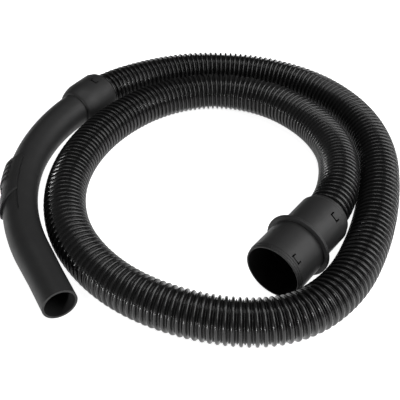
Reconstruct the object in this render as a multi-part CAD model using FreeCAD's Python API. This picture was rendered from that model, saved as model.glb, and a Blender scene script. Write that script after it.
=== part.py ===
"""Vacuum-cleaner hose: a ribbed hose lying in a loose spiral, with a bent hand grip on one end
and a machine connector on the other, both on swivels.

Millimetres.  +Z is up and the hose lies on the plane Z = 0.  The origin is on that plane, under
the middle of the two end fittings.  Each end fitting is drawn in its own frame, with X along its
swivel axis, and is then placed at its end of the hose.
"""
import FreeCAD, Part
import math
import os

from FreeCAD import Placement, Rotation, Vector

# ---- hose -----------------------------------------------------------------------------------
HOSE_RADIUS = 21.2          # over the ribs
HOSE_BORE_RADIUS = 16.0
ARC_SHARE = 0.45            # part of the shorter run that each bend takes up

# Points of the hose's centre line.  The first run is the grip's swivel axis and the last run,
# read backwards, is the connector's.
ROUTE = [
    (-102.7, 137, 26), (-81.5, 169, 26), (-20, 212.5, 22), (40, 229, 21.2), (109.5, 219, 21.2),
    (173.5, 181.5, 21.2), (214.5, 122, 21.2), (229, 52, 21.2), (219, -20.5, 21.2), (196.5, -92.5, 21.2),
    (162.5, -158, 21.2), (109.5, -197.5, 21.2), (37.5, -194, 21.2), (-35.5, -160.5, 21.2),
    (-86, -101.5, 21.2), (-106, -33, 21.2), (-99.5, 36.5, 21.2), (-68.5, 103.5, 21.2),
    (-15, 156.5, 21.2), (52.5, 176.5, 21.2), (117.5, 156.5, 21.2), (162, 108.5, 21.2), (180.5, 49, 22.4),
    (178.2, -8, 28.5), (161.7, -65.9, 35.2), (135.5, -99.2, 33.7),
]

# ---- swivel, the same at both ends ----------------------------------------------------------
SWIVEL_GAP = 0.1            # radial running clearance
END_GAP = 0.3               # gap between faces that turn past each other
BUSH_RADIUS = 23.0
BUSH_LENGTH = 28.0          # the part inside the cuff
BUSH_LIP = 2.0              # inner stop for the hose end
BUSH_LIP_RADIUS = 16.5
BUSH_FLANGE_RADIUS = 24.3
BUSH_FLANGE = 4.0
THREAD_GAP = 0.05           # between the hose and the bush screwed onto it
BUSH_FLARE = 0.6            # the bore opens by this much, over this length, where the hose bends
BUSH_FLARE_LENGTH = 9.5
GROOVE_NEAR = 9.8           # latch groove, measured from the mouth of the cuff
GROOVE_FAR = 12.6
GROOVE_RADIUS = 22.2
SWIVEL_BORE_RADIUS = BUSH_RADIUS + SWIVEL_GAP
SEAL_LENGTH = 2.8
SEAL_BORE_RADIUS = 16.8

# ---- latch tongues, moulded into the cuff, the sleeve and the plug ----------------------------
TONGUE_WIDTH = 9.5
TONGUE_LENGTH = 4.2
TONGUE_SLOT = 1.5
TONGUE_FROM_MOUTH = 12.8
HOOK_LENGTH = 1.7
HOOK_WIDTH = 5.0
HOOK_TIP_RADIUS = 22.5
HOOK_SETBACK = 0.9          # from the middle of the slot to the hook

# ---- grip end -------------------------------------------------------------------------------
CUFF_RADIUS = 25.8
CUFF_LENGTH = 43.0
CUFF_NECK = 8.0
CUFF_DOME = 11.0            # the cuff narrows over this length to its grip side
CUFF_DOME_ROUND = 40.0
CUFF_FACE_RADIUS = 21.9
CUFF_FACE_ROUND = 3.0
CUFF_LATCH_ANGLE = 82.0     # about the swivel axis, from the inside of the bend over the top
SPIGOT_RADIUS = 19.2
SPIGOT_BEAD_RADIUS = 21.8
SPIGOT_BEAD = 3.8
GRIP_WALL = 2.2
GRIP_BEND = 226.0           # radius of the bend
FLARE_TURN = 27.0           # part of the bend over which the tube narrows
GRIP_TURN = 35.5            # the rest of it, at one diameter
GRIP_RADIUS = 17.5
TAPER_LENGTH = 34.0
END_LENGTH = 35.0
END_RADIUS = 16.6           # outside of the end that takes a wand

# ---- air slider, in degrees round the bend and in degrees round the tube ------------------
SLIDER_START = 30.5
SLIDER_END = 47.8
SLIDER_SHOULDER = 43.2      # where the slanted end leaves the slider's sides
SLIDER_POINT = 8.0          # half width of the tip, in degrees round the tube
SLIDER_SLANT = 48.0         # the slanted end is square to the slider here, in degrees round the tube
SLIDER_WRAP = 88.0
SLIDER_THICKNESS = 2.2
SLIDER_GAP = 0.3
SLIDER_TRAVEL = 4.0
RIDGE_ANGLES = (32.0, 33.9, 35.8, 37.7)
RIDGE_TURN = 0.9
RIDGE_WRAP = 52.0
RIDGE_HEIGHT = 1.3
WINDOW_ANGLE = 41.7         # middle of the opening in the slider
WINDOW_REACH = 5.0          # half sizes: along the bend and across the tube
WINDOW_HALF_WIDTH = 7.0
RECESS_REACH = 8.5
RECESS_HALF_WIDTH = 12.0
RECESS_DEPTH = 1.1
VENT_MARGIN = 1.2           # the vent is this much smaller than the opening all round
GUIDE_ANGLE = 84.5          # the two grooves in the tube that the slider's hooks run in
GUIDE_WIDTH = 2.4
GUIDE_DEPTH = 1.1
GUIDE_START = 32.0
GUIDE_END = 50.7
SLIDER_HOOK_START = 34.0
SLIDER_HOOK_END = 42.0

# ---- machine end ----------------------------------------------------------------------------
PLUG_RADIUS = 28.5
PLUG_LENGTH = 40.0
PLUG_WALL = 2.6
PLUG_LATCH_DEPTH = 6.8      # from the mouth to the free end of the tongue
LATCH_ANGLE = 131.0         # about the swivel axis, from its left over the top
RIM_STEPS = ((4.4, 0.4), (2.1, 0.8))    # distance from the mouth, step down from the outside
FLANGE_RADIUS = 32.8
FLANGE_THICKNESS = 3.5
SLEEVE_RADIUS = 25.8
SLEEVE_END_RADIUS = 26.2    # it widens a little towards the hose
SLEEVE_LENGTH = 47.0
SLEEVE_LIP_RADIUS = 19.5
SLEEVE_LIP = 2.5
SLEEVE_WALL = 2.4
SLEEVE_SPIGOT = 8.0
FIT_GAP = 0.05              # between fixed pieces that push into each other

X_AXIS = Vector(1, 0, 0)
Z_AXIS = Vector(0, 0, 1)
ORIGIN = Vector(0, 0, 0)
BEND_CENTRE = Vector(0, GRIP_BEND, 0)
WHOLE_TURN = FLARE_TURN + GRIP_TURN


# ---- general shapes -------------------------------------------------------------------------
def outline(corners):
    """Closed wire in the XY plane.  A corner is (x, y) or (x, y, radius of its round)."""
    joins = []
    for index, corner in enumerate(corners):
        here = Vector(corner[0], corner[1], 0)
        radius = corner[2] if len(corner) > 2 else 0
        if radius == 0:
            joins.append((here, None, here))
            continue
        before = Vector(*corners[index - 1][:2], 0)
        after = Vector(*corners[(index + 1) % len(corners)][:2], 0)
        to_before = (before - here).normalize()
        to_after = (after - here).normalize()
        half = to_before.getAngle(to_after) / 2
        reach = radius / math.tan(half)
        inward = (to_before + to_after).normalize()
        middle = here + inward * (radius / math.sin(half) - radius)
        joins.append((here + to_before * reach, middle, here + to_after * reach))
    edges = []
    for index, (start, middle, end) in enumerate(joins):
        if middle is not None:
            edges.append(Part.Arc(start, middle, end).toShape())
        following = joins[(index + 1) % len(joins)][0]
        if end.distanceToPoint(following) > 1e-6:
            edges.append(Part.LineSegment(end, following).toShape())
    return Part.Wire(edges)


def ring_at(point, direction, radius):
    """Circular wire."""
    return Part.Wire(Part.makeCircle(radius, point, direction))


def turned(corners):
    """Solid of revolution about X from (x, radius) corners."""
    return Part.Face(outline(corners)).revolve(ORIGIN, X_AXIS, 360)


def wall_block(angle, start, end, middle, width, low, high):
    """Block in a round wall: along X from start to end, at an angle about X from +Y over +Z."""
    block = Part.makeBox(end - start, width, high - low, Vector(start, middle - width / 2, low))
    block.rotate(ORIGIN, X_AXIS, angle - 90)
    return block


def with_tongues(shell, free_end, root_side, angles, radius):
    """Cuts a U-shaped slot at each angle, which frees a springy tongue in the wall."""
    low = radius - 5
    high = radius + 2
    root = free_end + root_side * TONGUE_LENGTH
    for turn in angles:
        cuts = [(free_end - TONGUE_SLOT / 2, free_end + TONGUE_SLOT / 2, 0, TONGUE_WIDTH)]
        for side in (-1, 1):
            middle = side * (TONGUE_WIDTH - TONGUE_SLOT) / 2
            cuts.append((min(free_end, root), max(free_end, root), middle, TONGUE_SLOT))
        for start, end, middle, width in cuts:
            shell = shell.cut(wall_block(turn, start, end, middle, width, low, high))
    return shell


def with_hooks(shell, free_end, root_side, angles):
    """Adds the hook inside each tongue that runs in the bush's groove."""
    near = free_end + root_side * HOOK_SETBACK
    far = near + root_side * HOOK_LENGTH
    for turn in angles:
        top = SWIVEL_BORE_RADIUS + 0.5
        hook = wall_block(turn, min(near, far), max(near, far), 0, HOOK_WIDTH, HOOK_TIP_RADIUS, top)
        shell = shell.fuse(hook)
    return shell


def fitting_frame(point, direction, roll=0.0):
    """Placement with X along a direction and, before the roll about X, Y level to its left."""
    heading = math.degrees(math.atan2(direction.y, direction.x))
    tilt = math.degrees(math.asin(direction.z / direction.Length))
    turn = Rotation(Z_AXIS, heading).multiply(Rotation(Vector(0, 1, 0), -tilt))
    return Placement(point, turn.multiply(Rotation(X_AXIS, roll)))


# ---- hose -----------------------------------------------------------------------------------
def route_wire(points):
    """Straight runs joined by tangent arcs, with the arc radii."""
    edges = []
    radii = []
    last = points[0]
    for before, here, after in zip(points, points[1:], points[2:]):
        to_before = (before - here).normalize()
        to_after = (after - here).normalize()
        half = to_before.getAngle(to_after) / 2
        reach = ARC_SHARE * min(before.distanceToPoint(here), here.distanceToPoint(after))
        radius = reach * math.tan(half)
        start = here + to_before * reach
        end = here + to_after * reach
        inward = (to_before + to_after).normalize()
        middle = here + inward * (radius / math.sin(half) - radius)
        edges.append(Part.LineSegment(last, start).toShape())
        edges.append(Part.Arc(start, middle, end).toShape())
        radii.append(radius)
        last = end
    edges.append(Part.LineSegment(last, points[-1]).toShape())
    return Part.Wire(edges), radii


def hose(points):
    """Plain hollow tube along the route."""
    wire, radii = route_wire(points)
    along = points[1] - points[0]
    outer, inner = [Part.Face(ring_at(points[0], along, r)) for r in (HOSE_RADIUS, HOSE_BORE_RADIUS)]
    tube = wire.makePipe(outer.cut(inner).Faces[0])
    section = math.pi * (HOSE_RADIUS ** 2 - HOSE_BORE_RADIUS ** 2)
    print("hose length %.1f mm" % wire.Length)
    print("hose volume over section times length %.5f" % (tube.Volume / section / wire.Length))
    print("bend radii", [round(radius) for radius in radii])
    return tube


# ---- swivel pieces --------------------------------------------------------------------------
def bush():
    """Threaded bush on the hose end.  X = 0 is the mouth of the cuff, +X is towards the hose."""
    bore = HOSE_RADIUS + THREAD_GAP
    flange_end = END_GAP + BUSH_FLANGE
    return turned([
        (-BUSH_LENGTH, BUSH_LIP_RADIUS), (-BUSH_LENGTH, BUSH_RADIUS, 0.6),
        (-GROOVE_FAR, BUSH_RADIUS), (-GROOVE_FAR, GROOVE_RADIUS),
        (-GROOVE_NEAR, GROOVE_RADIUS), (-GROOVE_NEAR, BUSH_RADIUS),
        (END_GAP, BUSH_RADIUS), (END_GAP, BUSH_FLANGE_RADIUS, 0.4),
        (flange_end, BUSH_FLANGE_RADIUS, 1.0), (flange_end, bore + BUSH_FLARE, 0.6),
        (flange_end - BUSH_FLARE_LENGTH, bore),
        (BUSH_LIP - BUSH_LENGTH, bore), (BUSH_LIP - BUSH_LENGTH, BUSH_LIP_RADIUS),
    ])


def seal(start):
    """Square ring with a rounded bore, filling the swivel bore."""
    outer = SWIVEL_BORE_RADIUS - FIT_GAP
    end = start + SEAL_LENGTH
    return turned([
        (start, SEAL_BORE_RADIUS, 0.8), (start, outer), (end, outer), (end, SEAL_BORE_RADIUS, 0.8),
    ])


# ---- grip end: X = 0 is the cuff's grip side, -X is towards the hose, the bend turns to +Y ------
def cuff():
    """Swivel collar, clipped on the grip and turning on the bush."""
    bore = SPIGOT_RADIUS + FIT_GAP
    shell = turned([
        (-CUFF_LENGTH, SWIVEL_BORE_RADIUS), (-CUFF_LENGTH, CUFF_RADIUS, 1.2),
        (-CUFF_DOME, CUFF_RADIUS, CUFF_DOME_ROUND), (0, CUFF_FACE_RADIUS, CUFF_FACE_ROUND), (0, bore),
        (-CUFF_NECK, bore), (-CUFF_NECK, SWIVEL_BORE_RADIUS),
    ])
    free_end = TONGUE_FROM_MOUTH - CUFF_LENGTH
    angles = (CUFF_LATCH_ANGLE, CUFF_LATCH_ANGLE + 180)
    shell = with_tongues(shell, free_end, -1, angles, CUFF_RADIUS)
    return with_hooks(shell, free_end, -1, angles)


def bend_point(angle, outward, up):
    """Point at an angle round the bend, outward from the tube's axis and above it."""
    turn = math.radians(angle)
    arm = GRIP_BEND + outward
    return BEND_CENTRE + Vector(arm * math.sin(turn), -arm * math.cos(turn), up)


def bend_direction(angle):
    """Direction of the tube at an angle round the bend."""
    return Vector(math.cos(math.radians(angle)), math.sin(math.radians(angle)), 0)


def grip_body(inset):
    """The grip's outside, made smaller by an inset, from the cuff to the open end."""
    spigot = Part.makeCylinder(SPIGOT_RADIUS - inset, CUFF_NECK + SPIGOT_BEAD,
                               Vector(-CUFF_NECK - SPIGOT_BEAD, 0, 0), X_AXIS)
    spine = Part.Arc(*[bend_point(angle, 0, 0) for angle in (0, FLARE_TURN / 2, FLARE_TURN)])
    flare = Part.BRepOffsetAPI.MakePipeShell(Part.Wire(spine.toShape()))
    for angle, radius in ((0, SPIGOT_RADIUS - inset), (FLARE_TURN, GRIP_RADIUS - inset)):
        flare.add(ring_at(bend_point(angle, 0, 0), bend_direction(angle), radius))
    flare.build()
    flare.makeSolid()
    section = ring_at(bend_point(FLARE_TURN, 0, 0), bend_direction(FLARE_TURN), GRIP_RADIUS - inset)
    grip = Part.Face(section).revolve(BEND_CENTRE, Z_AXIS, GRIP_TURN)
    along = bend_direction(WHOLE_TURN)
    taper_start = bend_point(WHOLE_TURN, 0, 0)
    taper = Part.makeCone(GRIP_RADIUS - inset, END_RADIUS - inset, TAPER_LENGTH, taper_start, along)
    end_start = taper_start + along * TAPER_LENGTH
    end = Part.makeCylinder(END_RADIUS - inset, END_LENGTH, end_start, along)
    return spigot.multiFuse([flare.shape(), grip, taper, end])


def mouth_centre():
    """Middle of the grip's open end."""
    return bend_point(WHOLE_TURN, 0, 0) + bend_direction(WHOLE_TURN) * (TAPER_LENGTH + END_LENGTH)


def bend_sweep(points, start, end):
    """Sweeps a closed section of (outward, up) points round the bend."""
    corners = [bend_point(start, outward, up) for outward, up in points]
    section = Part.Face(Part.makePolygon(corners + corners[:1]))
    return section.revolve(BEND_CENTRE, Z_AXIS, end - start)


def polar(radius, angle):
    """(outward, up) of a point round the tube, from its outer side over the top."""
    return radius * math.cos(math.radians(angle)), radius * math.sin(math.radians(angle))


def guide_section(low, high, width, side):
    """Small rectangle across the tube's wall at one of the two guides."""
    spread = math.degrees(width / 2 / GRIP_RADIUS)
    angles = (side * (GUIDE_ANGLE - spread), side * (GUIDE_ANGLE + spread))
    return [polar(low, angles[0]), polar(high, angles[0]), polar(high, angles[1]), polar(low, angles[1])]


def side_slot(angle, reach, half_width):
    """Slot-shaped prism pointing out of the bend, rounded at its ends across the tube."""
    straight = half_width - reach
    centre = bend_point(angle, 0, 0)
    outward = (centre - BEND_CENTRE).normalize()
    ends = [centre + Z_AXIS * (side * straight) for side in (-1, 1)]
    length = 2 * GRIP_RADIUS
    prism = Part.makeCylinder(reach, length, ends[0], outward)
    along = bend_direction(angle)
    corner = ends[0] - along * reach
    block = Part.makePolygon([corner, corner + along * (2 * reach),
                              corner + along * (2 * reach) + Z_AXIS * (2 * straight),
                              corner + Z_AXIS * (2 * straight), corner])
    block = Part.Face(block).extrude(outward * length)
    return prism.multiFuse([Part.makeCylinder(reach, length, ends[1], outward), block])


def grip():
    """Bent hand grip: a tube with a spigot, a vent and two guide grooves for the slider."""
    bead = turned([
        (-CUFF_NECK - SPIGOT_BEAD, SPIGOT_RADIUS - GRIP_WALL),
        (-CUFF_NECK - SPIGOT_BEAD, SPIGOT_BEAD_RADIUS, 1.0),
        (-CUFF_NECK - FIT_GAP, SPIGOT_BEAD_RADIUS), (-CUFF_NECK - FIT_GAP, SPIGOT_RADIUS - GRIP_WALL),
    ])
    tube = grip_body(0).fuse(bead).cut(grip_body(GRIP_WALL))
    for side in (-1, 1):
        groove = guide_section(GRIP_RADIUS - GUIDE_DEPTH, GRIP_RADIUS + 1, GUIDE_WIDTH, side)
        tube = tube.cut(bend_sweep(groove, GUIDE_START, GUIDE_END))
    vent = side_slot(WINDOW_ANGLE + SLIDER_TRAVEL, WINDOW_REACH - VENT_MARGIN,
                     WINDOW_HALF_WIDTH - VENT_MARGIN)
    return tube.cut(vent)


def beyond(point, first, second):
    """Large block on one side of the plane through a point that holds two directions."""
    size = 10 * GRIP_RADIUS
    normal = second.cross(first).normalize()
    block = Part.makeBox(size, size, size, Vector(0, -size / 2, -size / 2))
    across = first.normalize()
    turn = Rotation(normal, across, normal.cross(across), "XYZ")
    block.transformShape(Placement(point, turn).toMatrix())
    return block


def saddle(low, high, wrap, start, end):
    """Saddle-shaped shell round the outer side of the bend."""
    corners = [[bend_point(start, *polar(r, a)) for a in (-wrap, 0, wrap)] for r in (high, low)]
    edges = [
        Part.Arc(*corners[0]).toShape(), Part.LineSegment(corners[0][2], corners[1][2]).toShape(),
        Part.Arc(*reversed(corners[1])).toShape(), Part.LineSegment(corners[1][0], corners[0][0]).toShape(),
    ]
    return Part.Face(Part.Wire(edges)).revolve(BEND_CENTRE, Z_AXIS, end - start)


def air_slider():
    """Saddle that slides along the grip and opens the vent."""
    inner = GRIP_RADIUS + SLIDER_GAP
    outer = inner + SLIDER_THICKNESS
    shell = saddle(inner, outer, SLIDER_WRAP, SLIDER_START, SLIDER_END)
    for angle in RIDGE_ANGLES:
        start = angle - RIDGE_TURN / 2
        shell = shell.fuse(saddle(outer - 0.5, outer + RIDGE_HEIGHT, RIDGE_WRAP, start, start + RIDGE_TURN))
    for side in (-1, 1):
        corner = bend_point(SLIDER_SHOULDER, *polar(outer, side * GUIDE_ANGLE))
        tip = bend_point(SLIDER_END, *polar(outer, side * SLIDER_POINT))
        middle = (SLIDER_SHOULDER + SLIDER_END) / 2
        through = bend_point(middle, *polar(1, side * SLIDER_SLANT)) - bend_point(middle, 0, 0)
        slant = (tip - corner) * side
        shell = shell.cut(beyond(corner, slant, through))
    above = saddle(outer - RECESS_DEPTH, outer + 5, 75.0, SLIDER_START, SLIDER_END)
    shell = shell.cut(side_slot(WINDOW_ANGLE, RECESS_REACH, RECESS_HALF_WIDTH).common(above))
    shell = shell.cut(side_slot(WINDOW_ANGLE, WINDOW_REACH, WINDOW_HALF_WIDTH))
    for side in (-1, 1):
        hook = guide_section(inner - GUIDE_DEPTH, inner + 0.5, GUIDE_WIDTH - 2 * SLIDER_GAP, side)
        shell = shell.fuse(bend_sweep(hook, SLIDER_HOOK_START, SLIDER_HOOK_END))
    return shell


# ---- machine end: X = 0 is the flange's front, +X is towards the hose ---------------------------
def plug():
    """Front tube that goes into the machine, with a stepped rim and a latch tongue."""
    bore = PLUG_RADIUS - PLUG_WALL
    profile = [(0, bore), (0, PLUG_RADIUS)]
    level = PLUG_RADIUS
    for distance, drop in RIM_STEPS:
        profile += [(distance - PLUG_LENGTH, level, 0.25)]
        level = PLUG_RADIUS - drop
        profile += [(distance - PLUG_LENGTH, level)]
    profile += [(-PLUG_LENGTH, level, 0.8), (-PLUG_LENGTH, bore, 0.5)]
    return with_tongues(turned(profile), PLUG_LATCH_DEPTH - PLUG_LENGTH, 1, (LATCH_ANGLE,), PLUG_RADIUS)


def sleeve():
    """Rear sleeve with the flange, pushed into the plug and turning on the bush."""
    spigot = PLUG_RADIUS - PLUG_WALL - FIT_GAP
    lip_end = SLEEVE_LENGTH - BUSH_LENGTH - SEAL_LENGTH - END_GAP
    inside = spigot - SLEEVE_WALL
    shell = turned([
        (-SLEEVE_SPIGOT, inside), (-SLEEVE_SPIGOT, spigot, 0.8), (0, spigot),
        (0, FLANGE_RADIUS, 0.6), (FLANGE_THICKNESS, FLANGE_RADIUS, 1.0),
        (FLANGE_THICKNESS, SLEEVE_RADIUS, 0.5), (SLEEVE_LENGTH, SLEEVE_END_RADIUS, 2.0),
        (SLEEVE_LENGTH, SWIVEL_BORE_RADIUS), (lip_end, SWIVEL_BORE_RADIUS),
        (lip_end, SLEEVE_LIP_RADIUS), (lip_end - SLEEVE_LIP, SLEEVE_LIP_RADIUS),
        (lip_end - SLEEVE_LIP, inside - 0.6), (FLANGE_THICKNESS, inside),
    ])
    free_end = SLEEVE_LENGTH - TONGUE_FROM_MOUTH
    angles = (LATCH_ANGLE, LATCH_ANGLE + 180)
    shell = with_tongues(shell, free_end, 1, angles, SLEEVE_RADIUS)
    return with_hooks(shell, free_end, 1, angles)


# ---- assembly -------------------------------------------------------------------------------
def main():
    points = [Vector(*point) for point in ROUTE]

    grip_axis = (points[0] - points[1]).normalize()
    seam = points[0] + grip_axis * (CUFF_LENGTH - BUSH_LENGTH + BUSH_LIP)
    drop = math.degrees(math.asin((seam.z - END_RADIUS) / mouth_centre().y))
    grip_place = fitting_frame(seam, grip_axis, -drop)

    plug_axis = (points[-2] - points[-1]).normalize()
    flange = points[-1] - plug_axis * (SLEEVE_LENGTH - BUSH_LENGTH + BUSH_LIP)
    plug_place = fitting_frame(flange, plug_axis)

    grip_bush = bush()
    grip_bush.rotate(ORIGIN, Z_AXIS, 180)
    grip_bush.translate(Vector(-CUFF_LENGTH, 0, 0))
    plug_bush = bush()
    plug_bush.translate(Vector(SLEEVE_LENGTH, 0, 0))

    grip_seal_start = -CUFF_NECK - SPIGOT_BEAD - FIT_GAP - SEAL_LENGTH
    plug_seal_start = SLEEVE_LENGTH - BUSH_LENGTH - SEAL_LENGTH - END_GAP
    nodes = {"hose": (hose(points), None)}
    for name, shape in (("handle_tube", grip()), ("air_slider", air_slider()), ("handle_cuff", cuff()),
                        ("handle_seal", seal(grip_seal_start)), ("handle_bush", grip_bush)):
        nodes[name] = (shape, grip_place)
    for name, shape in (("connector_plug", plug()), ("connector_sleeve", sleeve()),
                        ("connector_seal", seal(plug_seal_start)), ("connector_bush", plug_bush)):
        nodes[name] = (shape, plug_place)

    os.makedirs("parts", exist_ok=True)
    box = FreeCAD.BoundBox()
    for name, (shape, place) in nodes.items():
        if place is not None:
            shape = shape.copy()
            shape.transformShape(place.toMatrix())
        solids = shape.Solids
        print("%-17s solids %d valid %s volume %.0f" % (name, len(solids), shape.isValid(), shape.Volume))
        shape = solids[0] if len(solids) == 1 else Part.makeCompound(solids)
        shape.exportStep("parts/%s.step" % name)
        if name != "hose":
            box.add(shape.BoundBox)
    print("fittings' box", box)

    def placed(place, point):
        return [round(value, 3) for value in place.multVec(point)]

    def turned_to(place, direction):
        return [round(value, 6) for value in place.Rotation.multVec(direction)]

    print("grip swivel at", placed(grip_place, ORIGIN), "axis", turned_to(grip_place, X_AXIS))
    print("bend centre at", placed(grip_place, BEND_CENTRE), "axis", turned_to(grip_place, Z_AXIS))
    mouth_axis = turned_to(grip_place, bend_direction(WHOLE_TURN))
    print("grip mouth at", placed(grip_place, mouth_centre()), "axis", mouth_axis)
    print("plug swivel at", placed(plug_place, ORIGIN), "axis", turned_to(plug_place, X_AXIS))
    print("plug mouth at", placed(plug_place, Vector(-PLUG_LENGTH, 0, 0)))


main()
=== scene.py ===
"""Vacuum hose: its looks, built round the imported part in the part's own frame.

Everything is in metres, apart from the hose's own sizes and route and the camera's lens, which
are in millimetres.
"""
import math

import bpy
import numpy as np
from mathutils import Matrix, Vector


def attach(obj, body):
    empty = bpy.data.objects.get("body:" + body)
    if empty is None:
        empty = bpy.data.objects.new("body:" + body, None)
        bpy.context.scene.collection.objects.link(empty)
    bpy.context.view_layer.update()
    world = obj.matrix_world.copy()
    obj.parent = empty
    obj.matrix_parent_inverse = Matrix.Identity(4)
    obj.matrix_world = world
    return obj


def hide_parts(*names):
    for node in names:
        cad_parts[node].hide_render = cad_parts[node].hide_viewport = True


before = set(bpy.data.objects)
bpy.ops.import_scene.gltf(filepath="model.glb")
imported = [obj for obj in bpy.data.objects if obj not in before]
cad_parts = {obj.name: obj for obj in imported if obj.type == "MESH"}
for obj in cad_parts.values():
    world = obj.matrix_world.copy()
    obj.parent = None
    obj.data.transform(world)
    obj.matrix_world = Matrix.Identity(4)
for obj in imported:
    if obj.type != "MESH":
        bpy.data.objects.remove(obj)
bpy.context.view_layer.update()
MM = 0.001

# ---- the hose, in millimetres ---------------------------------------------------------------
HOSE_SIDES = 48
RIB_PITCH = 6.15            # one turn of the helix, which has a broad rib and a thin one
RIB_FLOOR = 17.8            # radius at the bottom of the grooves
BROAD_RIB_HEIGHT = 3.4
THIN_RIB_HEIGHT = 1.5

# The part's own route.  Two points of the inner pass and one of the outer pass beside it are moved,
# by less than 4 mm, so that the two passes lie close together.
ROUTE = [
    (-102.7, 137, 26), (-81.5, 169, 26), (-20, 212.5, 22), (40, 229, 21.2), (109.5, 219, 21.2),
    (173.5, 181.5, 21.2), (214.5, 122, 21.2), (229, 52, 21.2), (218.7, -20.5, 21.2),
    (196.5, -92.5, 21.2), (162.5, -158, 21.2), (109.5, -197.5, 21.2), (37.5, -194, 21.2),
    (-35.5, -160.5, 21.2), (-86, -101.5, 21.2), (-106, -33, 21.2), (-99.5, 36.5, 21.2),
    (-68.5, 103.5, 21.2), (-15, 156.5, 21.2), (52.5, 176.5, 21.2), (117.5, 156.5, 21.2),
    (162, 108.5, 21.2), (181.3, 49, 26), (179, -8, 31.5), (161.7, -65.9, 35.2),
    (135.5, -99.2, 33.7),
]


def add_object(name, data):
    """Object that shows a mesh, curve, lamp or camera, linked into the scene."""
    made = bpy.data.objects.new(name, data)
    bpy.context.scene.collection.objects.link(made)
    return made


# ---- materials ------------------------------------------------------------------------------
DARK_PATCH = (0.85, 0.85, 0.87)     # patches of colour, as parts of the plastic's own shade
LIGHT_PATCH = (1.2, 1.2, 1.2)
PATCH_SCALE = 60
GLOSS_SCALE = 140
GRAIN_HEIGHT = 0.0002


class Nodes:
    """A material's node tree, with short names for adding and joining nodes."""

    def __init__(self, name):
        self.material = bpy.data.materials.new(name)
        self.material.use_nodes = True
        self.tree = self.material.node_tree
        self.shader = self.tree.nodes["Principled BSDF"]

    def add(self, kind):
        return self.tree.nodes.new(kind)

    def join(self, output, target):
        self.tree.links.new(output, target)

    def noise(self, scale, detail, roughness=0.5):
        """Noise fixed to the object, from 0 to 1."""
        place = self.add("ShaderNodeTexCoord")
        noise = self.add("ShaderNodeTexNoise")
        noise.inputs["Scale"].default_value = scale
        noise.inputs["Detail"].default_value = detail
        noise.inputs["Roughness"].default_value = roughness
        self.join(place.outputs["Object"], noise.inputs["Vector"])
        return noise.outputs["Fac"]

    def ranged(self, value, low, high, start, end):
        """The value's range from start to end, stretched to low to high."""
        node = self.add("ShaderNodeMapRange")
        for name, number in zip(("From Min", "From Max", "To Min", "To Max"), (start, end, low, high)):
            node.inputs[name].default_value = number
        self.join(value, node.inputs["Value"])
        return node.outputs["Result"]

    def bump(self, height, strength, distance):
        """Raise and lower the surface's shading by a height from 0 to 1."""
        node = self.add("ShaderNodeBump")
        node.inputs["Strength"].default_value = strength
        node.inputs["Distance"].default_value = distance
        self.join(height, node.inputs["Height"])
        self.join(node.outputs["Normal"], self.shader.inputs["Normal"])


def plastic(name, shade, gloss, roughness, spread, grain, depth):
    """Black moulded plastic with a fine grain and uneven gloss."""
    nodes = Nodes(name)
    mix = nodes.add("ShaderNodeMix")
    mix.data_type = "RGBA"
    mix.inputs["A"].default_value = (*(shade * part for part in DARK_PATCH), 1)
    mix.inputs["B"].default_value = (*(shade * part for part in LIGHT_PATCH), 1)
    nodes.join(nodes.noise(PATCH_SCALE, detail=4), mix.inputs["Factor"])
    nodes.join(mix.outputs["Result"], nodes.shader.inputs["Base Color"])
    uneven = nodes.noise(GLOSS_SCALE, detail=5, roughness=0.6)
    nodes.join(nodes.ranged(uneven, roughness - spread, roughness + spread, start=0.3, end=0.7),
               nodes.shader.inputs["Roughness"])
    nodes.shader.inputs["Specular IOR Level"].default_value = gloss
    nodes.bump(nodes.noise(grain, detail=2, roughness=0.4), depth, GRAIN_HEIGHT)
    return nodes.material


HOSE_BLACK = plastic("hose_black", shade=0.010, gloss=0.38, roughness=0.24, spread=0.04,
                     grain=900, depth=0.03)
FITTING_BLACK = plastic("fitting_black", shade=0.017, gloss=0.24, roughness=0.50, spread=0.04,
                        grain=2600, depth=0.10)
RUBBER = plastic("rubber", shade=0.015, gloss=0.3, roughness=0.6, spread=0.05,
                 grain=1500, depth=0.1)


# ---- meshes ---------------------------------------------------------------------------------
def mesh_object(name, points, faces, material, smooth=True):
    """Mesh object from points in metres."""
    mesh = bpy.data.meshes.new(name)
    mesh.from_pydata([tuple(map(float, point)) for point in points], [],
                     [tuple(map(int, face)) for face in faces])
    mesh.materials.append(material)
    mesh.polygons.foreach_set("use_smooth", [smooth] * len(mesh.polygons))
    mesh.update()
    return add_object(name, mesh)


def spline_points(route):
    """Points of the hose's centre line, in metres, read from a NURBS curve."""
    curve = bpy.data.curves.new("route", "CURVE")
    curve.dimensions = "3D"
    curve.resolution_u = 32
    spline = curve.splines.new("NURBS")
    spline.points.add(len(route) - 1)
    for point, place in zip(spline.points, route):
        point.co = (place[0] * MM, place[1] * MM, place[2] * MM, 1)
    spline.order_u = 3
    spline.use_endpoint_u = True
    holder = add_object("route", curve)
    mesh = bpy.data.meshes.new_from_object(holder)
    points = np.array([tuple(vertex.co) for vertex in mesh.vertices])
    bpy.data.objects.remove(holder)
    bpy.data.meshes.remove(mesh)
    bpy.data.curves.remove(curve)
    return points


def rib(middle, half_width, height, power, steps):
    """Points (place in the pitch, radius in mm) over one rib.  A low power gives it a flat top."""
    angles = [math.pi * k / steps for k in range(steps + 1)]
    return [(middle - half_width * math.cos(angle), RIB_FLOOR + height * math.sin(angle) ** power)
            for angle in angles]


def rib_profile():
    """The wall over one pitch: a broad rib, a groove, a thin rib, a groove."""
    broad = rib(middle=0.30, half_width=0.27, height=BROAD_RIB_HEIGHT, power=0.55, steps=7)
    thin = rib(middle=0.80, half_width=0.12, height=THIN_RIB_HEIGHT, power=0.8, steps=4)
    return broad + thin


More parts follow.
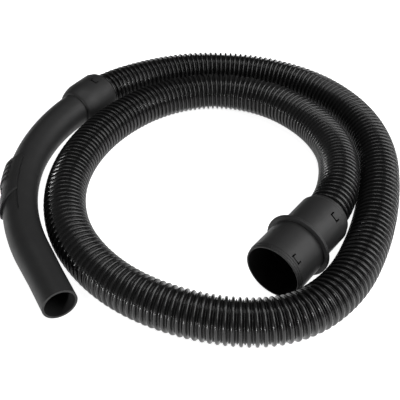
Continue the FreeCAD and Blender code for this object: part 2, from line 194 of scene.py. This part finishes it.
def hose_mesh(points):
    """Ribbed hose: the rows of the mesh run along the helix, so each rib keeps its own edges."""
    steps = np.linalg.norm(np.diff(points, axis=0), axis=1)
    along = np.concatenate([[0], np.cumsum(steps)])
    tangents = np.gradient(points, along, axis=0)
    profile = rib_profile()
    turns = int(along[-1] / MM / RIB_PITCH) - 1     # the last turn's helix takes up one more pitch
    start = np.array([turn + part for turn in range(turns) for part, _ in profile]) * RIB_PITCH * MM
    radius = np.array([r for _ in range(turns) for _, r in profile]) * MM
    angle = 2 * np.pi * np.arange(HOSE_SIDES) / HOSE_SIDES
    reached = start[:, None] + RIB_PITCH * MM * angle[None, :] / (2 * np.pi)

    centre = np.stack([np.interp(reached, along, points[:, k]) for k in range(3)], axis=-1)
    ahead = np.stack([np.interp(reached, along, tangents[:, k]) for k in range(3)], axis=-1)
    ahead /= np.linalg.norm(ahead, axis=-1, keepdims=True)
    side = np.cross(np.array([0.0, 0.0, 1.0]), ahead)
    side /= np.linalg.norm(side, axis=-1, keepdims=True)
    up = np.cross(ahead, side)
    vertices = centre + radius[:, None, None] * (np.cos(angle)[None, :, None] * side
                                                 + np.sin(angle)[None, :, None] * up)

    # The last column joins the first one a whole pitch further on.
    rows = len(start)
    faces = []
    for i in range(rows - 1):
        for j in range(HOSE_SIDES):
            k = (j + 1) % HOSE_SIDES
            shift = len(profile) if k == 0 else 0
            if i + 1 + shift < rows:
                faces.append((i * HOSE_SIDES + j, (i + 1) * HOSE_SIDES + j,
                              (i + 1 + shift) * HOSE_SIDES + k, (i + shift) * HOSE_SIDES + k))
    return vertices.reshape(-1, 3), faces, along[-1]


# ---- the pieces -----------------------------------------------------------------------------
centre_line = spline_points(ROUTE)
hose_points, hose_faces, hose_length = hose_mesh(centre_line)
hose = mesh_object("hose_ribbed", hose_points, hose_faces, HOSE_BLACK)
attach(hose, "hose_body")
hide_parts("hose")

# Every other piece is its CAD node, which gets its own finish.
for name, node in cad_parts.items():
    if name == "hose":
        continue
    node.data.materials.clear()
    node.data.materials.append(RUBBER if name.endswith("seal") else FITTING_BLACK)


# ---- floor, light and camera ----------------------------------------------------------------
FLOOR_REACH = 6.0
FLOOR_SHADE = 0.86
FLOOR_GLOW = 0.95
ROOM_LIGHT = 0.06
CAMERA_PLACE = (0.034, -0.6025, 0.497)
CAMERA_TILT = 50            # degrees up from looking straight down
CAMERA_LENS = 65.97
SENSOR_WIDTH = 36.0


def floor():
    """Plain pale floor, which glows so that it stays white away from the lamps."""
    nodes = Nodes("floor")
    nodes.shader.inputs["Base Color"].default_value = (FLOOR_SHADE, FLOOR_SHADE, FLOOR_SHADE, 1)
    nodes.shader.inputs["Roughness"].default_value = 0.9
    nodes.shader.inputs["Specular IOR Level"].default_value = 0.1
    nodes.shader.inputs["Emission Color"].default_value = (1, 1, 1, 1)
    nodes.shader.inputs["Emission Strength"].default_value = FLOOR_GLOW
    corners = [(-FLOOR_REACH, -FLOOR_REACH, 0), (FLOOR_REACH, -FLOOR_REACH, 0),
               (FLOOR_REACH, FLOOR_REACH, 0), (-FLOOR_REACH, FLOOR_REACH, 0)]
    made = mesh_object("floor", corners, [(0, 1, 2, 3)], nodes.material, smooth=False)


def lamp(name, place, target, width, height, power):
    """Rectangular soft lamp facing a point."""
    data = bpy.data.lights.new(name, "AREA")
    data.shape = "RECTANGLE"
    data.size = width
    data.size_y = height
    data.energy = power
    made = add_object(name, data)
    made.location = place
    made.rotation_euler = (Vector(target) - Vector(place)).to_track_quat("-Z", "Y").to_euler()


floor()
lamp("top", place=(0.0, 0.35, 1.9), target=(0, 0, 0), width=1.1, height=0.6, power=11)
lamp("right", place=(1.35, -0.15, 1.0), target=(0.1, 0, 0.0), width=1.9, height=1.3, power=34)
lamp("glint", place=(-1.25, -1.75, 0.2), target=(0, 0, 0.03), width=0.14, height=0.14, power=22)

world = bpy.data.worlds.new("room")
world.use_nodes = True
background = world.node_tree.nodes["Background"]
background.inputs["Color"].default_value = (1, 1, 1, 1)
background.inputs["Strength"].default_value = ROOM_LIGHT
bpy.context.scene.world = world
bpy.context.scene.view_settings.view_transform = "Standard"

camera = add_object("camera", bpy.data.cameras.new("camera"))
camera.location = CAMERA_PLACE
camera.rotation_euler = (math.radians(CAMERA_TILT), 0, 0)
camera.data.lens = CAMERA_LENS
camera.data.sensor_width = SENSOR_WIDTH
bpy.context.scene.camera = camera
